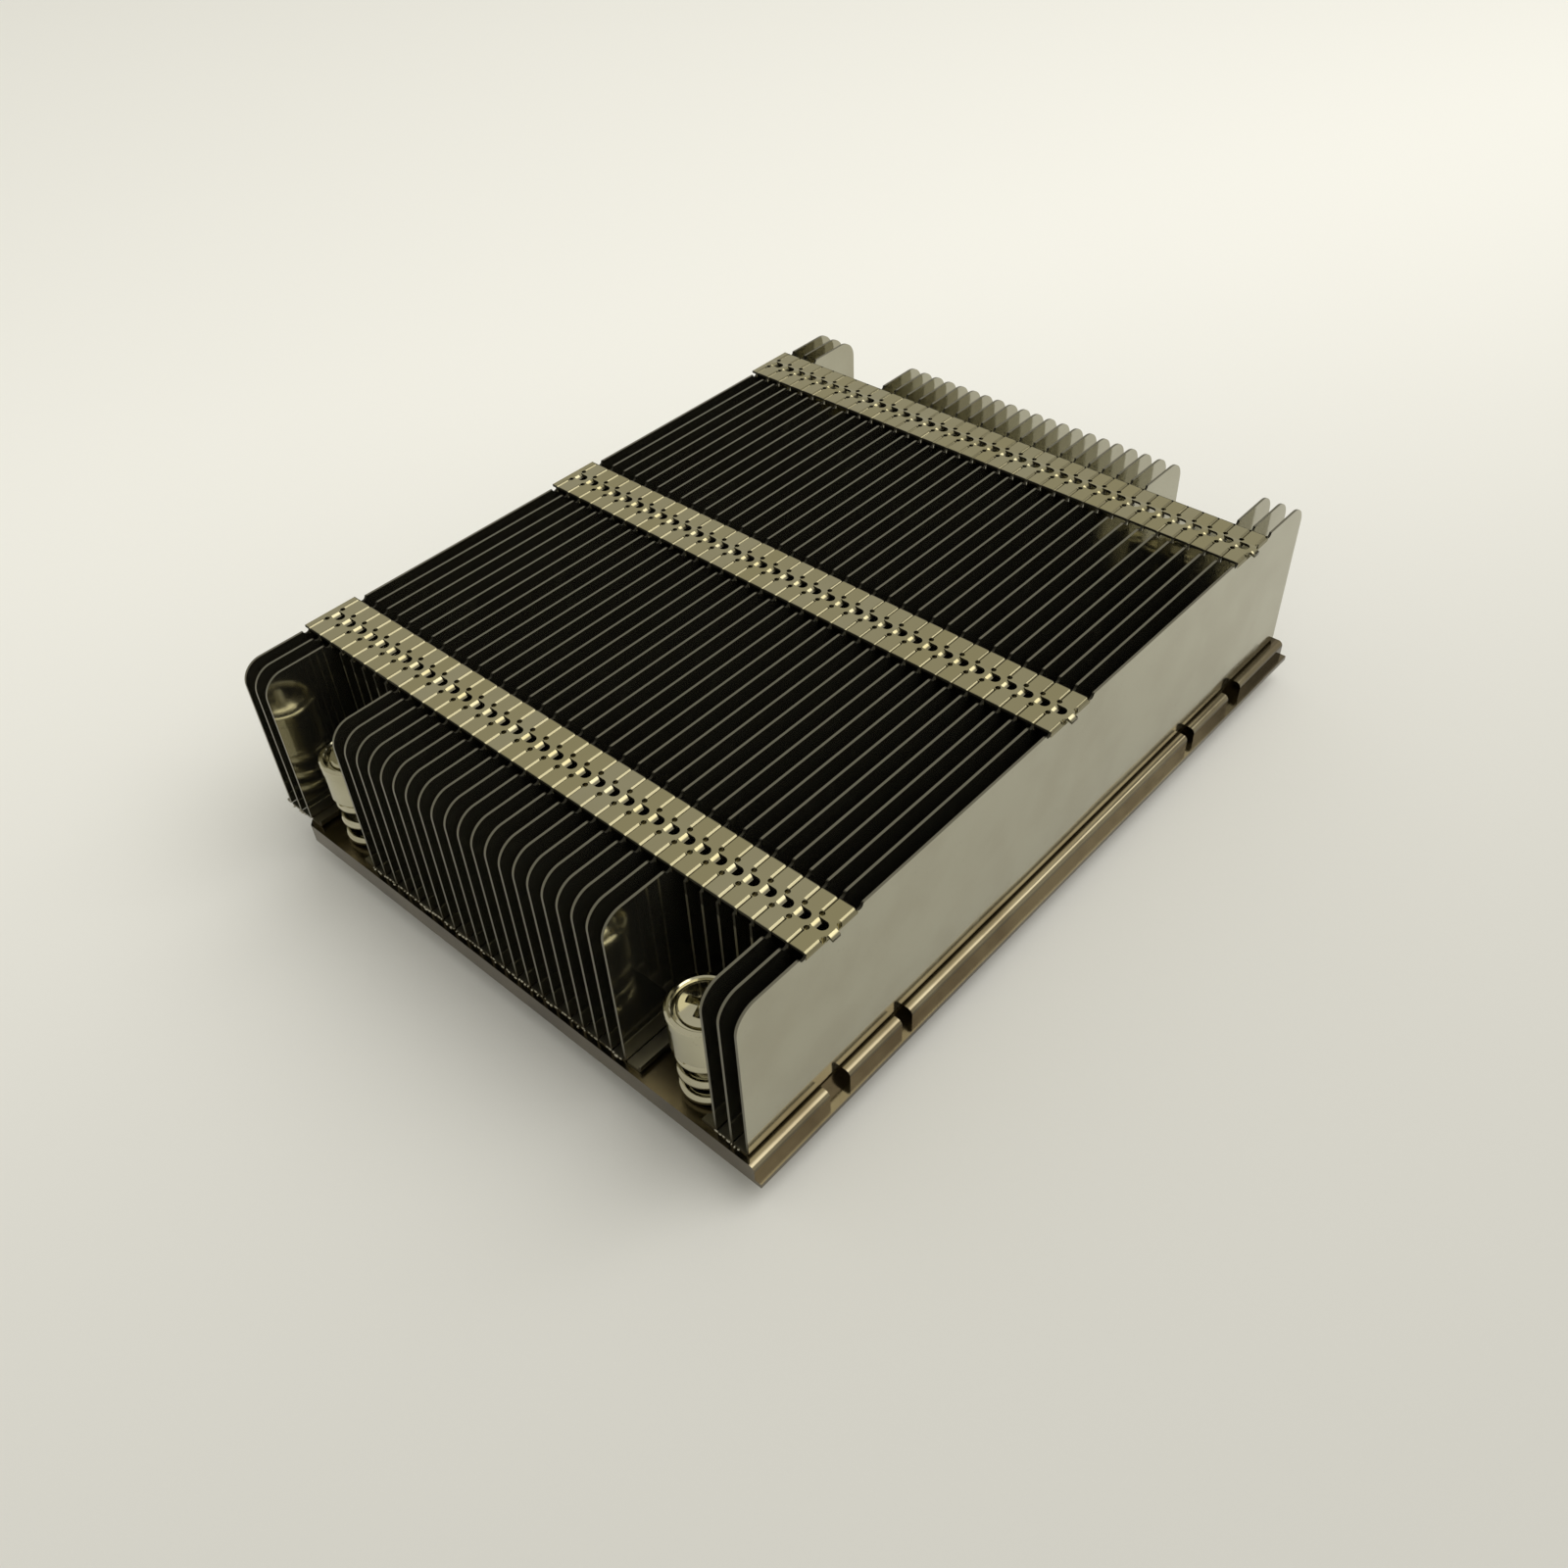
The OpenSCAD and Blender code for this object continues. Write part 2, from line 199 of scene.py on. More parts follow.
class SurfaceMaker(NodeMaker):
    """Adds the nodes of one material."""

    def __init__(self, name: str) -> None:
        """Start a material with an empty tree.

        Args:
            name: the material's name
        """
        self.material = bpy.data.materials.new(name)
        self.material.use_nodes = True
        super().__init__(self.material.node_tree)
        self.tree.nodes.clear()
        self.place = self.out(self.add("ShaderNodeTexCoord"), "Object")

    def scaled(self, stretch: Colour) -> Sock:
        """Give object coordinates in millimetres.

        Args:
            stretch: a factor for each axis

        Returns:
            The coordinates.
        """
        node = self.add("ShaderNodeMapping", values={"Vector": self.place})
        self.entry(node, "Scale").default_value = [part / MM for part in stretch]
        return self.out(node)

    def normal(self) -> tuple[Sock, Sock, Sock]:
        """Give the parts of the surface's own normal."""
        return self.xyz(self.out(self.add("ShaderNodeNewGeometry"), "Normal"))

    def noise(self, where: Sock, size: float, detail: float = 2.0, roughness: float = 0.5) -> Sock:
        """Add noise from 0 to 1.

        Args:
            where: the coordinates
            size: about the size of a lump, in millimetres
            detail: how many finer layers it has
            roughness: how strong those are

        Returns:
            The noise.
        """
        node = self.add("ShaderNodeTexNoise", values={
            "Vector": where, "Scale": 1.0 / size, "Detail": detail, "Roughness": roughness})
        return self.out(node, 0)

    def rise(self, value: Sock, step: Pair) -> Sock:
        """Step softly from 0 to 1.

        Args:
            value: what is compared
            step: the values where the step starts and ends

        Returns:
            0 under the step and 1 over it.
        """
        node = self.add("ShaderNodeMapRange", {"interpolation_type": "SMOOTHSTEP"},
                        {"Value": value, "From Min": step[0], "From Max": step[1]})
        return self.out(node)

    def fall(self, value: Sock, step: Pair) -> Sock:
        """Step softly from 1 to 0."""
        return 1.0 - self.rise(value, step)

    def mix(self, share: Term, first: Any, second: Any) -> Sock:
        """Mix two colours.

        Args:
            share: how much of the second one shows
            first: a colour
            second: a colour

        Returns:
            The mixed colour.
        """
        node = self.add("ShaderNodeMix", {"data_type": "RGBA"},
                        {"Factor_Float": share, "A_Color": first, "B_Color": second})
        return self.out(node, "Result_Color")

    def bump(self, height: Sock, distance: float, strength: float = 1.0,
             normal: Optional[Sock] = None) -> Sock:
        """Bump a surface.

        Args:
            height: the height
            distance: what one unit of height stands for, in millimetres
            strength: share of the effect
            normal: another bump that this one goes on

        Returns:
            The normal.
        """
        values: Values = {"Height": height, "Distance": distance * MM, "Strength": strength}
        if normal is not None:
            values["Normal"] = normal
        return self.out(self.add("ShaderNodeBump", values=values))

    def close(self, values: Values) -> bpy.types.Material:
        """End the tree in a principled surface.

        Args:
            values: what feeds the surface, by the socket's name

        Returns:
            The finished material.
        """
        shader = self.add("ShaderNodeBsdfPrincipled", values=values)
        end = self.add("ShaderNodeOutputMaterial")
        self.tree.links.new(shader.outputs[0], end.inputs["Surface"])
        return self.material


class Grain(Enum):
    """Stretch of the fine marks on a metal, for each axis."""

    ALONG_FINS = (1.0, 0.03, 1.0)
    TURNED = (0.12, 0.12, 2.2)
    EVEN = (1.0, 1.0, 1.0)


@dataclass(frozen=True)
class Plating:
    """Nickel plating: a warm tint with clouds, fine grain and faint smears."""

    name: str
    tint: Colour
    cloud: Colour
    gloss: float
    smear: float
    grain: Grain
    grain_size: float = 0.18
    grain_depth: float = 0.004
    grain_rough: float = 0.08
    cloud_size: float = 9.0
    cloud_step: Pair = (0.35, 0.7)
    cloud_share: float = 0.8
    smear_scale: float = 0.45
    smear_step: Pair = (0.52, 0.72)
    speck_size: float = 0.35
    speck_step: Pair = (0.68, 0.78)
    speck_share: float = 0.25
    speck_shade: float = 0.6
    speck_rough: float = 0.06

    def paint(self, make: SurfaceMaker) -> Values:
        """Work out what varies over the metal.

        Args:
            make: the maker of the material

        Returns:
            What feeds the surface, by the socket's name.
        """
        even = make.scaled(Grain.EVEN.value)
        lined = make.scaled(self.grain.value)
        clouds = make.rise(make.noise(even, self.cloud_size, 3.0), self.cloud_step)
        lines = make.noise(lined, self.grain_size, 3.0, 0.6)
        smears = make.rise(
            make.noise(even, self.cloud_size * self.smear_scale, 4.0, 0.65), self.smear_step)
        specks = make.rise(make.noise(even, self.speck_size, 1.0), self.speck_step)
        dark = tuple(self.speck_shade * part for part in self.cloud)
        tint = make.mix(clouds * self.cloud_share, self.tint, self.cloud)
        tint = make.mix(specks * self.speck_share, tint, dark)
        rough = self.gloss + lines * self.grain_rough + smears * self.smear \
            + specks * self.speck_rough
        return {"Base Color": tint, "Metallic": 1.0, "Roughness": rough,
                "Normal": make.bump(lines, self.grain_depth)}

    def material(self) -> bpy.types.Material:
        """Build the finish."""
        make = SurfaceMaker(self.name)
        return make.close(self.paint(make))


@dataclass(frozen=True)
class FoldedPlating(Plating):
    """Plating of the fins: dull cut edges, tabs that each lean and differ a little in tone, a
    painted reflection on the tabs' tops, and painted shade on the folds, hooks, reliefs and feet.
    """

    pitch: float = 2.12
    first_face: float = 36.8
    face_slack: float = 0.02
    stripe_apart: float = 38.4
    stripe_end: Pair = (3.55, 3.75)
    tab_over: Pair = (26.2, 26.5)
    # Painted reflection of a dim warm room, for the tabs' tops.
    tab_painted_reflection: Colour = (0.34, 0.305, 0.17)
    tab_unlike: float = 0.35
    lean: float = 0.07
    crown: float = 0.12
    crown_half: float = 0.8
    hook_end: Pair = (0.55, 0.65)
    hook_dark_from: Pair = (0.2, 0.4)
    hook_dark_to: Pair = (0.7, 0.8)
    # Painted shade for the right part of each hook and for the relief notches.
    deep_painted_shade: Colour = (0.03, 0.028, 0.02)
    fold_turn: Pair = (0.12, 0.35)
    # Painted shade that dims the highlight on the folds.
    fold_painted_shade: Colour = (0.22, 0.20, 0.125)
    fold_share: float = 0.8
    fold_rough: float = 0.08
    relief_start: Pair = (3.4, 3.5)
    relief_end: Pair = (4.5, 4.7)
    relief_over: Pair = (24.6, 25.0)
    relief_turn: Pair = (0.8, 0.95)
    relief_rough: float = 0.3
    rim_turn: Pair = (0.3, 0.8)
    end_turn: Pair = (0.1, 0.4)
    edge_tint: Colour = (0.178, 0.168, 0.128)
    edge_rough: float = 0.22
    foot_end: Pair = (6.0, 6.3)
    # Painted shade on the fins' feet, next to the plate.
    foot_painted_shade: Colour = (0.17, 0.15, 0.10)
    shade_share: float = 0.9
    wave_size: float = 22.0
    wave_depth: float = 0.22
    metal: float = 0.975

    def paint(self, make: SurfaceMaker) -> Values:
        """Work out what varies over the metal, with its cut edges and its tabs.

        Args:
            make: the maker of the material

        Returns:
            What feeds the surface, by the socket's name.
        """
        values = super().paint(make)
        even = make.scaled(Grain.EVEN.value)
        x, y, z = make.xyz(even)
        number = ((x - self.first_face - self.face_slack) / self.pitch).calc("CEIL")
        past = x - self.first_face - (number - 1.0) * self.pitch
        stripe = (y / self.stripe_apart).calc("ROUND")
        beside = y - stripe * self.stripe_apart
        across = beside.calc("ABSOLUTE")
        dice = make.add("ShaderNodeTexWhiteNoise", {"noise_dimensions": "3D"},
                        {"Vector": make.vector(number, stripe, 0.0)})
        lean_x, lean_y, shade = make.xyz(make.out(dice, "Color"))
        sideways, endways, _ = (part.calc("ABSOLUTE") for part in make.normal())

        on_tab = make.fall(across, self.stripe_end) * make.rise(z, self.tab_over)
        by_hook = on_tab * make.fall(across, self.hook_end)
        # The right part of each hook, which gets painted shade.
        on_hook = by_hook * make.rise(past, self.hook_dark_from) \
            * make.fall(past, self.hook_dark_to)
        # The folds, whose highlight painted shade dims.
        on_fold = (on_tab - by_hook) * make.rise(sideways, self.fold_turn)
        # The relief notches by the stripes' ends, which get painted shade.
        on_relief = make.rise(across, self.relief_start) * make.fall(across, self.relief_end) \
            * make.rise(z, self.relief_over) * make.fall(sideways, self.relief_turn)
        on_edge = make.fall(sideways, self.rim_turn) \
            * (1.0 - on_tab * make.fall(endways, self.end_turn))
        # The fins' feet, which get painted shade.
        on_foot = make.fall(z, self.foot_end)

        slope = (lean_x - 0.5) * (past - self.pitch / 2.0) + (lean_y - 0.5) * beside
        middle = across.calc("MINIMUM", self.crown_half)
        wave = make.noise(even, self.wave_size, 1.0) * self.wave_depth
        height = (slope * self.lean - middle * middle * self.crown) * on_tab \
            + wave * (1.0 - on_tab)
        values["Normal"] = make.bump(height, 1.0, 1.0, values["Normal"])

        tint = values["Base Color"]
        for share, colour in (
                # the tabs' tops get a painted reflection, its share differing at random from tab
                # to tab
                (on_tab * (1.0 - shade * self.tab_unlike), self.tab_painted_reflection),
                # painted shade on the folds
                (on_fold * self.fold_share, self.fold_painted_shade),
                # painted shade on the right part of each hook
                (on_hook * self.shade_share, self.deep_painted_shade),
                # painted shade on the fins' feet
                (on_foot * self.shade_share, self.foot_painted_shade),
                (on_edge, self.edge_tint),
                # painted shade in the relief notches
                (on_relief * self.shade_share, self.deep_painted_shade)):
            tint = make.mix(share, tint, colour)
        values["Base Color"] = tint
        values["Metallic"] = self.metal
        values["Roughness"] = values["Roughness"] + on_edge * self.edge_rough \
            + on_relief * self.relief_rough + on_fold * self.fold_rough
        return values


@dataclass(frozen=True)
class DomedPlating(Plating):
    """Plating of the screws: the tops swell a little round each screw's own axis."""

    half_across: float = 28.0
    half_along: float = 47.0
    dome: float = 0.04

    def paint(self, make: SurfaceMaker) -> Values:
        """Work out what varies over the metal, with the domed tops.

        Args:
            make: the maker of the material

        Returns:
            What feeds the surface, by the socket's name.
        """
        values = super().paint(make)
        x, y, _ = make.xyz(make.scaled(Grain.EVEN.value))
        across = x.calc("ABSOLUTE") - self.half_across
        along = y.calc("ABSOLUTE") - self.half_along
        height = (across * across + along * along) * -self.dome
        values["Normal"] = make.bump(height, 1.0, 1.0, values["Normal"])
        return values


@dataclass(frozen=True)
class GroundPlating:
    """Plating of the base: painted shade between the fins, on the side faces and in part on the
    level tops; ground lines on the contact face.
    """

    name: str
    tint: Colour
    cloud: Colour
    gloss: float = 0.09
    cloud_size: float = 7.0
    cloud_step: Pair = (0.35, 0.7)
    cloud_share: float = 0.8
    line_size: float = 0.1
    line_depth: float = 0.006
    line_rough: float = 0.07
    line_least: float = 0.3
    smear_size: float = 3.0
    smear_step: Pair = (0.5, 0.75)
    smear_rough: float = 0.10
    # Painted shade on the plate's top between the fins.
    painted_shade_under_fins: Colour = (0.085, 0.07, 0.042)
    under_fins_end: Pair = (36.9, 37.2)
    under_fins_over: Pair = (5.4, 5.5)
    under_fins_least: float = 0.7
    under_fins_rough: float = 0.06
    # Painted shade for the side faces, and in part for the level tops.
    side: Colour = (0.09, 0.073, 0.05)
    side_turn: Pair = (0.15, 0.6)
    side_least: float = 0.75
    level_turn: Pair = (0.93, 0.985)
    level_share: float = 0.4
    pad: Colour = (0.78, 0.75, 0.68)
    pad_end: Pair = (0.05, 0.1)
    pad_share: float = 0.7
    pad_rough: float = 0.16

    def material(self) -> bpy.types.Material:
        """Build the finish.

        Returns:
            The material.
        """
        make = SurfaceMaker(self.name)
        even = make.scaled(Grain.EVEN.value)
        lined = make.scaled(Grain.ALONG_FINS.value)
        x, _, z = make.xyz(even)
        upwards = make.normal()[2]
        clouds = make.rise(make.noise(even, self.cloud_size, 3.0), self.cloud_step)
        lines = make.noise(lined, self.line_size, 3.0, 0.6)
        smears = make.rise(make.noise(even, self.smear_size, 4.0, 0.65), self.smear_step)
        on_pad = make.fall(z, self.pad_end)
        # The plate's top between the fins, which gets painted shade.
        under_fins = make.fall(x.calc("ABSOLUTE"), self.under_fins_end) * make.rise(z, self.under_fins_over)
        on_side = make.fall(upwards.calc("ABSOLUTE"), self.side_turn)
        tint = make.mix(clouds * self.cloud_share, self.tint, self.cloud)
        for share, colour in (
                # painted shade on the level tops, in part
                (make.rise(upwards, self.level_turn) * self.level_share, self.side),
                # painted shade on the side faces, patchy with the clouds
                (on_side * (self.side_least + clouds * (1.0 - self.side_least)), self.side),
                # painted shade between the fins, patchy with the clouds
                (under_fins * (self.under_fins_least + clouds * (1.0 - self.under_fins_least)), self.painted_shade_under_fins),
                (on_pad * self.pad_share, self.pad)):
            tint = make.mix(share, tint, colour)
        rough = self.gloss + lines * self.line_rough + smears * self.smear_rough \
            + on_pad * self.pad_rough + under_fins * self.under_fins_rough
        return make.close({
            "Base Color": tint, "Metallic": 1.0, "Roughness": rough,
            "Normal": make.bump(lines * (self.line_least + on_pad), self.line_depth)})


@dataclass(frozen=True)
class Paper:
    """Pale matt sheet of the floor, with painted shade that makes it a little darker towards the
    front right.
    """

    name: str = "pale_paper"
    far: Colour = (0.91, 0.912, 0.885)
    near_painted_shade: Colour = (0.59, 0.59, 0.567)
    away: Pair = (-0.93, 0.37)
    reach: float = 150.0
    cloud_size: float = 120.0
    cloud_push: float = 20.0
    fibre_size: float = 0.5
    fibre_depth: float = 0.02
    fibre_share: float = 0.5
    roughness: float = 0.85
    shine: float = 0.2

    def material(self) -> bpy.types.Material:
        """Build the finish.

        Returns:
            The material.
        """
        make = SurfaceMaker(self.name)
        even = make.scaled(Grain.EVEN.value)
        x, y, _ = make.xyz(even)
        clouds = make.noise(even, self.cloud_size, 2.0) * self.cloud_push
        fibres = make.noise(even, self.fibre_size, 3.0, 0.6)
        # Painted shade: the colour falls from the far one to the near one towards the front right.
        painted_falloff = make.rise(x * self.away[0] + y * self.away[1] + clouds, (-self.reach, self.reach))
        return make.close({
            "Base Color": make.mix(painted_falloff, self.near_painted_shade, self.far), "Roughness": self.roughness,
            "Specular IOR Level": self.shine,
            "Normal": make.bump(fibres, self.fibre_depth, self.fibre_share)})


class GeometryMaker(NodeMaker):
    """Adds the nodes of one Geometry Nodes tree and grows pieces with it."""

    TYPES = {float: "NodeSocketFloat", int: "NodeSocketInt", tuple: "NodeSocketVector",
             bpy.types.Material: "NodeSocketMaterial"}
    SHAPE = "NodeSocketGeometry"

    def __init__(self, name: str, sizes: dict[str, Any]) -> None:
        """Start a tree.

        Args:
            name: the tree's name
            sizes: its named inputs with their values; the type follows the value
        """
        super().__init__(bpy.data.node_groups.new(name, "GeometryNodeTree"))
        self.sizes = sizes
        self.tree.is_modifier = True
        self.declare("Geometry", "INPUT", self.SHAPE)
        for size, value in sizes.items():
            kind = next(k for t, k in self.TYPES.items() if isinstance(value, t))
            self.declare(size, "INPUT", kind)
        self.declare("Geometry", "OUTPUT", self.SHAPE)
        self.entries = self.add("NodeGroupInput")

    def declare(self, name: str, side: str, kind: str) -> None:
        """Give the tree an input or an output."""
        self.tree.interface.new_socket(name, in_out=side, socket_type=kind)

    def given(self, size: str) -> Sock:
        """Read a named input."""
        return self.out(self.entries, size)

    def close(self, shape: Sock) -> None:
        """End the tree: instances made real, then the material.

        Args:
            shape: the geometry that the tree has made
        """
        real = self.out(self.add("GeometryNodeRealizeInstances", values={"Geometry": shape}))
        dressed = self.out(self.add("GeometryNodeSetMaterial", values={
            "Geometry": real, "Material": self.given("Material")}))
        end = self.add("NodeGroupOutput")
        self.tree.links.new(dressed.socket, end.inputs["Geometry"])

    def grow(self, name: str, changes: Optional[dict[str, Any]] = None) -> bpy.types.Object:
        """Run the tree and keep its result as a plain mesh at the origin.

        Args:
            name: the piece's name
            changes: inputs that differ from the tree's own values

        Returns:
            The piece, without any modifier.
        """
        scene = bpy.context.scene
        host = bpy.data.objects.new(name + "_host", bpy.data.meshes.new(name + "_host"))
        scene.collection.objects.link(host)
        modifier = host.modifiers.new("grow", "NODES")
        modifier.node_group = self.tree
        values = {**self.sizes, **(changes or {})}
        for item in self.tree.interface.items_tree:
            if item.item_type == "SOCKET" and item.in_out == "INPUT" and item.name in values:
                modifier[item.identifier] = values[item.name]
        graph = bpy.context.evaluated_depsgraph_get()
        graph.update()
        mesh = bpy.data.meshes.new_from_object(host.evaluated_get(graph))
        mesh.name = name
        bpy.data.objects.remove(host)
        piece = bpy.data.objects.new(name, mesh)
        scene.collection.objects.link(piece)
        return piece


def dress(nodes: list[str], material: bpy.types.Material) -> None:
    """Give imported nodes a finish.

    Args:
        nodes: the nodes' names
        material: what goes into all their slots
    """
    for name in nodes:
        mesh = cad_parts[name].data
        if not mesh.materials:
            mesh.materials.append(material)
        for slot in range(len(mesh.materials)):
            mesh.materials[slot] = material


@dataclass
class FinStack:
    """The folded fins, from the left to the right."""

    count: int = 37
    finish: FoldedPlating = FoldedPlating(
        "fin_plating", (0.435, 0.42, 0.33), (0.385, 0.365, 0.28), 0.045, 0.07,
        Grain.ALONG_FINS, grain_depth=0.0009)

    def names(self) -> list[str]:
        """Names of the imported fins."""
        return [f"fin_{number + 1:02d}" for number in range(self.count)]

    def build(self) -> list[str]:
        """Dress the fins and return their names."""
        dress(self.names(), self.finish.material())
        return self.names()


@dataclass
class BasePlate:
    """The plate under the fins, with its side rails and contact pad."""

    finish: GroundPlating = GroundPlating(
        "base_plating", (0.27, 0.235, 0.155), (0.19, 0.155, 0.095))

    def build(self) -> list[str]:
        """Dress the plate and return its name."""
        dress(["base_plate"], self.finish.material())
        return ["base_plate"]


@dataclass(frozen=True)
class CoilSizes:
    """Sizes of a helical piece, in millimetres."""

    radius: float
    wire: float
    low: float
    high: float
    flat_turns: float
    turns: float
    sides: int
    steps_per_turn: int = 64

    def inputs(self, material: bpy.types.Material) -> dict[str, Any]:
        """Name the inputs of the coil's tree.

        Args:
            material: what the piece wears

        Returns:
            The inputs' values, by name.
        """
        return {"Radius": self.radius * MM, "Wire": self.wire * MM, "Low": self.low * MM,
                "High": self.high * MM, "Flat Turns": self.flat_turns, "Turns": self.turns,
                "Sides": self.sides, "Steps": int(self.steps_per_turn * self.turns),
                "Centre": (0.0, 0.0, 0.0), "Material": material}


class CoilMaker(GeometryMaker):
    """Grows helical pieces: a wire on a helix whose ends run level."""

    def __init__(self, name: str, sizes: CoilSizes, material: bpy.types.Material) -> None:
        """Build the tree for one kind of coil.

        Args:
            name: the tree's name
            sizes: the coil's sizes
            material: what the coil wears
        """
        super().__init__(name, sizes.inputs(material))
        line = self.add("GeometryNodeCurvePrimitiveLine")
        points = self.add("GeometryNodeResampleCurve", values={
            "Curve": self.out(line), "Count": self.given("Steps")})
        along = self.out(self.add("GeometryNodeSplineParameter"), "Factor")
        turn = along * self.given("Turns")
        open_turns = self.given("Turns") - 2.0 * self.given("Flat Turns")
        rise = ((turn - self.given("Flat Turns")) / open_turns).calc("MAXIMUM", 0.0)
        rise = rise.calc("MINIMUM", 1.0)
        floor = self.given("Low") + self.given("Wire")
        roof = self.given("High") - self.given("Wire")
        angle = turn * math.tau
        helix = self.vector(angle.calc("COSINE") * self.given("Radius"),
                            angle.calc("SINE") * self.given("Radius"),
                            floor + (roof - floor) * rise)
        coiled = self.add("GeometryNodeSetPosition", values={
            "Geometry": self.out(points), "Position": helix})
        ring = self.add("GeometryNodeCurvePrimitiveCircle", values={
            "Resolution": self.given("Sides"), "Radius": self.given("Wire")})
        tube = self.add("GeometryNodeCurveToMesh", values={
            "Curve": self.out(coiled), "Profile Curve": self.out(ring), "Fill Caps": True})
        moved = self.add("GeometryNodeTransform", values={
            "Geometry": self.out(tube), "Translation": self.given("Centre")})
        self.close(self.out(moved))


class BeadMaker(GeometryMaker):
    """Grows a row of solder beads, each with its own size and place."""

    SEGMENTS = 8
    RINGS = 5

    def __init__(self, name: str, sizes: dict[str, Any]) -> None:
        """Build the tree for a row of beads along X.

        Args:
            name: the tree's name
            sizes: its named inputs with their values
        """
        super().__init__(name, sizes)
        row = self.add("GeometryNodeMeshLine", {"mode": "OFFSET", "count_mode": "TOTAL"}, {
            "Count": self.given("Count"), "Start Location": self.given("Start"),
            "Offset": self.given("Step")})
        strewn = self.add("GeometryNodeSetPosition", values={
            "Geometry": self.out(row), "Offset": self.throw("Spread", 0)})
        bead = self.add("GeometryNodeMeshUVSphere", values={
            "Segments": self.SEGMENTS, "Rings": self.RINGS, "Radius": self.given("Radius")})
        smooth = self.add("GeometryNodeSetShadeSmooth", values={
            "Geometry": self.out(bead), "Shade Smooth": True})
        placed = self.add("GeometryNodeInstanceOnPoints", values={
            "Points": self.out(strewn), "Instance": self.out(smooth),
            "Scale": self.throw("Size", 1)})
        self.close(self.out(placed))

    def throw(self, what: str, more: int) -> Sock:
        """Add a random vector for each bead.

        Args:
            what: the inputs that limit it are this name with Low and High
            more: what is added to the tree's seed

        Returns:
            The vector.
        """
        node = self.add("FunctionNodeRandomValue", {"data_type": "FLOAT_VECTOR"}, {
            "Min": self.given(what + " Low"), "Max": self.given(what + " High"),
            "Seed": self.given("Seed") + more})
        return self.out(node, "Value")


@dataclass
class SolderLine:
    """Solder that shows at the ends of the fins' feet, front and rear."""

    finish: Plating = Plating("solder", (0.42, 0.40, 0.33), (0.33, 0.31, 0.24),
                              0.22, 0.15, Grain.EVEN)
    seed: int = 7
    plate_top: float = 5.6
    per_foot: int = 4
    pitch: float = 2.12
    outer_end: float = 51.32
    pocket_end: float = 42.2
    bead_radius: float = 0.3
    strewn: float = 0.12
    lifted: float = 0.05
    least: Colour = (0.35, 0.3, 0.25)
    most: Colour = (1.2, 0.8, 0.75)
    runs: tuple[tuple[float, float, bool], ...] = (
        (-39.0, -35.3, False), (-34.8, -24.0, True), (-22.9, 19.8, False), (21.0, 31.6, True),
        (32.4, 36.6, False))

    def build(self) -> list[str]:
        """Grow each end's beads, one piece for each run.

        Returns:
            The names of the pieces.
        """
        step = self.pitch / self.per_foot
        strewn = self.strewn * MM
        maker = BeadMaker("solder_beads", {
            "Count": 8, "Start": (0.0, 0.0, 0.0), "Step": (step * MM, 0.0, 0.0),
            "Radius": self.bead_radius * MM, "Spread Low": (-strewn, -strewn, 0.0),
            "Spread High": (strewn, strewn, self.lifted * MM), "Size Low": self.least,
            "Size High": self.most, "Seed": self.seed, "Material": self.finish.material()})
        names = []
        for end, side in (("front", -1.0), ("rear", 1.0)):
            for number, (low, high, pocket) in enumerate(self.runs):
                y = side * (self.pocket_end if pocket else self.outer_end)
                piece = maker.grow(f"solder_{end}_{number + 1}", {
                    "Start": (low * MM, y * MM, self.plate_top * MM),
                    "Count": int((high - low) / step), "Seed": self.seed + number})
                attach(piece, "root")
                names.append(piece.name)
        return names


@dataclass
class SpringScrew:
    """One captive screw with its spring and retaining ring."""

    corner: str
    centre: tuple[float, float]
    bright: bpy.types.Material
    dark: bpy.types.Material
    springs: CoilMaker
    threads: CoilMaker
    press: float = 1.7
    seat: float = 5.6
    spring_height: float = 7.0

    def build(self) -> list[str]:
        """Dress the screw and ring, and grow the spring and the thread.

        Returns:
            The names of what shows.
        """
        screw, ring = f"captive_screw_{self.corner}", f"retaining_ring_{self.corner}"
        dress([screw], self.bright)
        dress([ring], self.dark)
        x, y = (part * MM for part in self.centre)
        spring = self.springs.grow(f"spring_wire_{self.corner}", {"Centre": (x, y, 0.0)})
        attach(spring, "root")
        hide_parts(f"spring_{self.corner}")
        self.seat * MM
        1.0 - self.press / self.spring_height
        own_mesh(spring)
        thread = self.threads.grow(f"screw_thread_{self.corner}", {"Centre": (x, y, 0.0)})
        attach(thread, f"screw_{self.corner}")
        return [screw, ring, spring.name, thread.name]


@dataclass
class ScrewSet:
    """The four spring screws."""

    half_across: float = 28.0
    half_along: float = 47.0
    coil: CoilSizes = CoilSizes(3.05, 0.55, 5.62, 12.58, 0.75, 3.75, 16)
    thread: CoilSizes = CoilSizes(1.95, 0.2, 0.3, 3.0, 0.0, 3.4, 6)
    bright: DomedPlating = DomedPlating(
        "screw_plating", (0.48, 0.455, 0.335), (0.38, 0.355, 0.24), 0.06, 0.08, Grain.TURNED)
    wire: Plating = Plating(
        "spring_plating", (0.48, 0.455, 0.335), (0.37, 0.345, 0.24), 0.10, 0.08, Grain.EVEN)
    dark: Plating = Plating(
        "ring_steel", (0.42, 0.41, 0.38), (0.34, 0.33, 0.30), 0.24, 0.10, Grain.EVEN)

    def build(self) -> list[str]:
        """Build each corner's screw.

        Returns:
            The names of what shows.
        """
        bright, wire, dark = (part.material() for part in (self.bright, self.wire, self.dark))
        springs = CoilMaker("spring_coil", self.coil, wire)
        threads = CoilMaker("screw_thread", self.thread, bright)
        names = []
        for end, y in (("front", -self.half_along), ("rear", self.half_along)):
            for side, x in (("left", -self.half_across), ("right", self.half_across)):
                screw = SpringScrew(f"{end}_{side}", (x, y), bright, dark, springs, threads)
                names += screw.build()
        return names


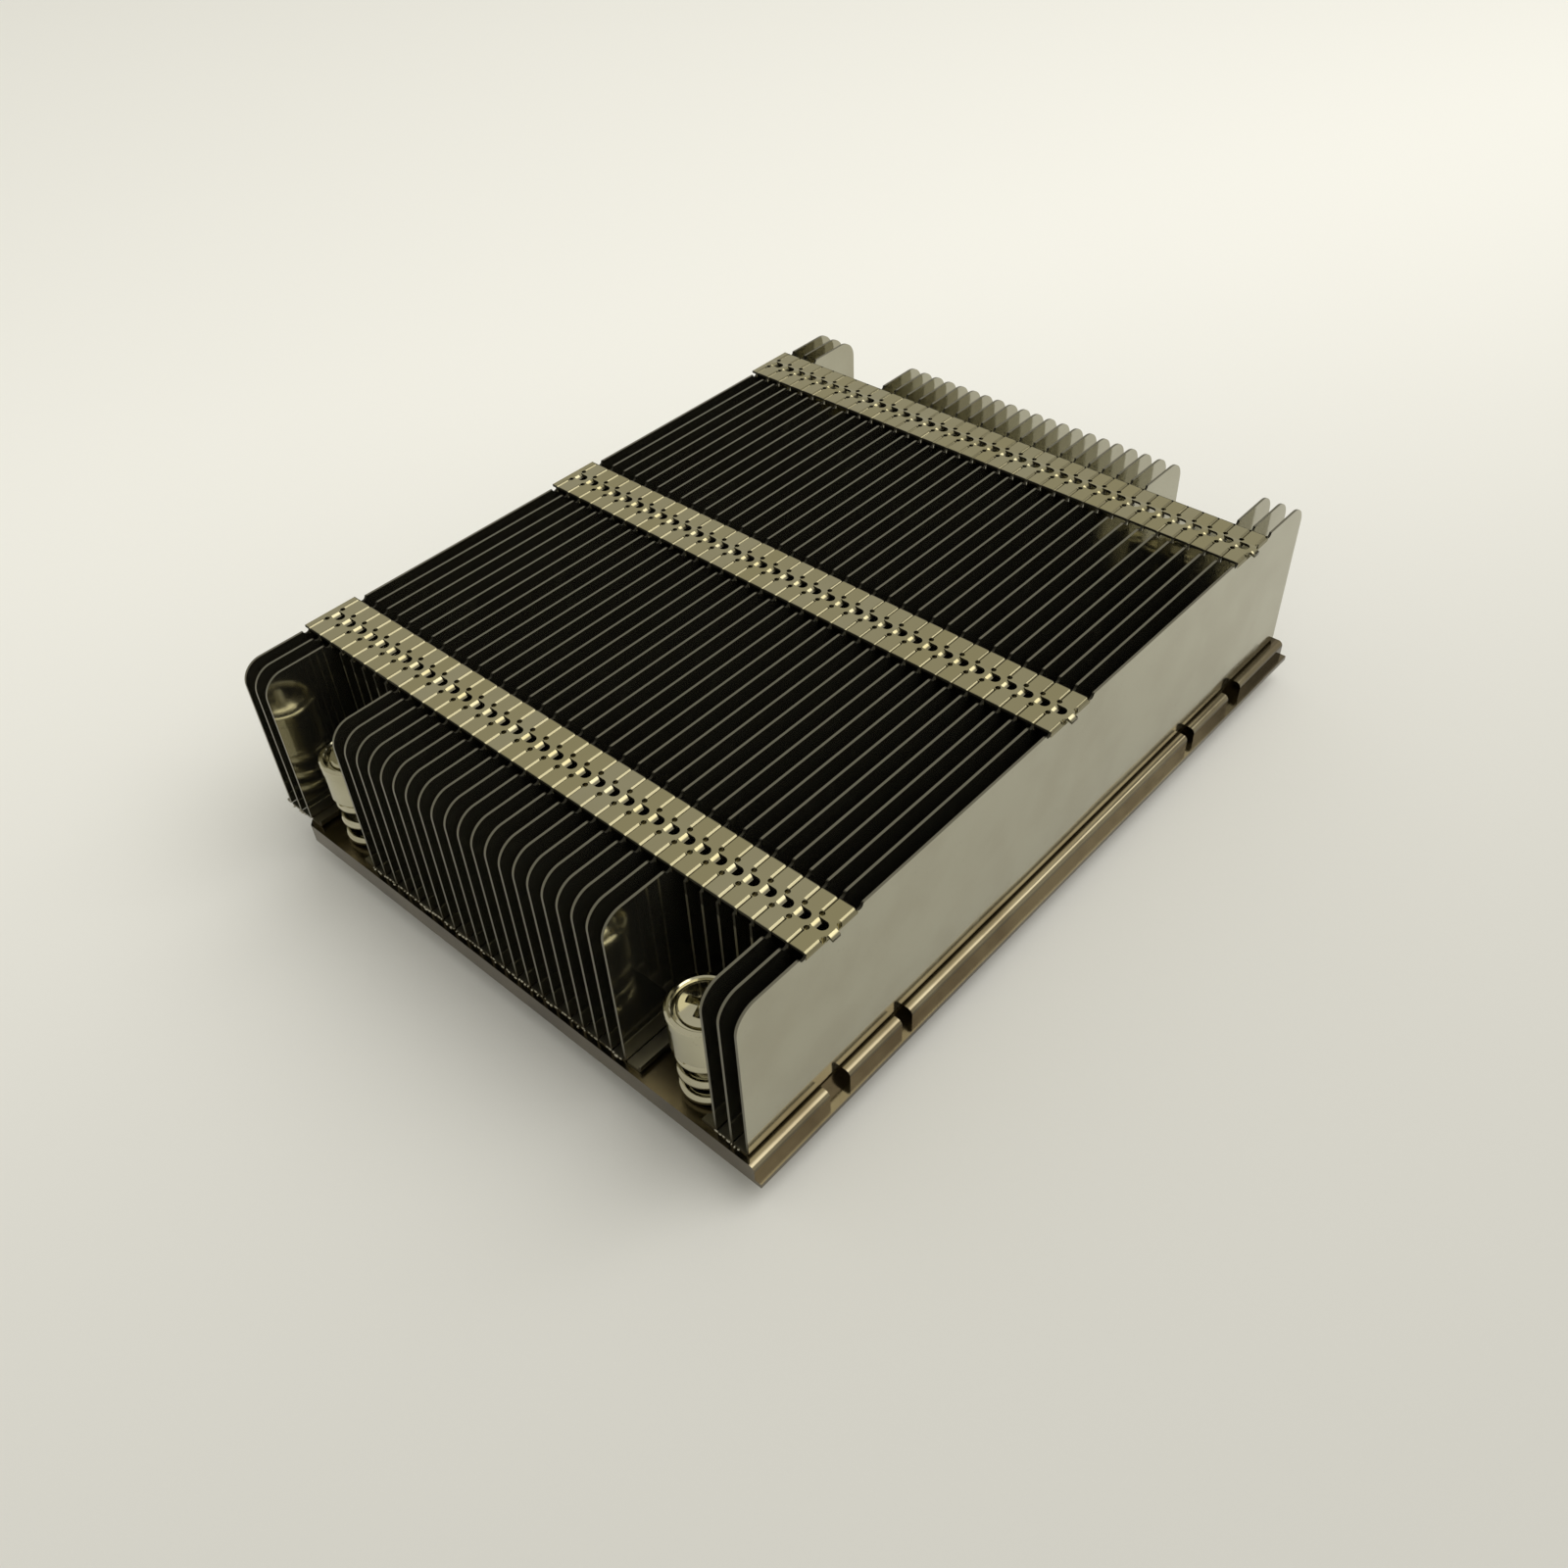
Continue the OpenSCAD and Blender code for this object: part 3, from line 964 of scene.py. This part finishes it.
@dataclass
class Studio:
    """Camera, floor and soft light."""

    eye: Colour = (0.09333, -0.10204, 0.12628)
    azimuth: float = 44.02
    elevation: float = 43.46
    roll: float = -3.31
    lens: float = 33.06
    sensor: float = 36.0
    floor_half: float = 1.6
    paper: Paper = Paper()
    key_from: Colour = (0.285, 0.225, 0.656)
    key_size: float = 0.62
    key_power: float = 2.8
    key_tint: Colour = (1.0, 0.975, 0.93)
    clip: Pair = (0.005, 20.0)
    room: Colour = (0.66, 0.645, 0.585)

    def camera(self) -> None:
        """Put the camera at the photograph's place and angle."""
        a, e, r = (math.radians(x) for x in (self.azimuth, self.elevation, self.roll))
        ahead = Vector((-math.sin(a) * math.cos(e), math.cos(a) * math.cos(e), -math.sin(e)))
        level = ahead.cross(Vector((0, 0, 1))).normalized()
        upright = level.cross(ahead)
        right = level * math.cos(r) + upright * math.sin(r)
        up = upright * math.cos(r) - level * math.sin(r)
        data = bpy.data.cameras.new("camera")
        data.lens = self.lens
        data.sensor_width = self.sensor
        data.clip_start, data.clip_end = self.clip
        camera = bpy.data.objects.new("camera", data)
        turn = Matrix((right, up, -ahead)).transposed().to_4x4()
        camera.matrix_world = Matrix.Translation(self.eye) @ turn
        bpy.context.scene.collection.objects.link(camera)
        bpy.context.scene.camera = camera

    def floor(self) -> None:
        """Lay the pale floor."""
        h = self.floor_half
        mesh = bpy.data.meshes.new("floor")
        mesh.from_pydata([(-h, -h, 0), (h, -h, 0), (h, h, 0), (-h, h, 0)], [], [(0, 1, 2, 3)])
        mesh.materials.append(self.paper.material())
        floor = bpy.data.objects.new("floor", mesh)
        bpy.context.scene.collection.objects.link(floor)

    def key(self) -> None:
        """Hang the soft square lamp that faces the object."""
        data = bpy.data.lights.new("key", "AREA")
        data.shape = "SQUARE"
        data.size = self.key_size
        data.energy = self.key_power
        data.color = self.key_tint
        lamp = bpy.data.objects.new("key", data)
        lamp.location = self.key_from
        lamp.rotation_euler = Vector(self.key_from).to_track_quat("Z", "Y").to_euler()
        bpy.context.scene.collection.objects.link(lamp)

    def world(self) -> None:
        """Give the room its even pale light."""
        world = bpy.data.worlds.new("room")
        world.use_nodes = True
        back = world.node_tree.nodes["Background"]
        back.inputs["Color"].default_value = (*self.room, 1.0)
        back.inputs["Strength"].default_value = 1.0
        bpy.context.scene.world = world

    def build(self) -> None:
        """Set the whole stage up."""
        self.camera()
        self.floor()
        self.key()
        self.world()
        view = bpy.context.scene.view_settings
        view.view_transform = "Standard"
        view.look = "None"


def main() -> None:
    """Dress the cooler."""
    logging.basicConfig(level=logging.INFO, format="%(message)s")
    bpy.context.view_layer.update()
    Studio().build()
    for part in (BasePlate(), FinStack(), SolderLine(), ScrewSet()):
        for name in part.build():
            LOG.info("%s: %s", type(part).__name__, name)


if __name__ == "__main__":
    main()
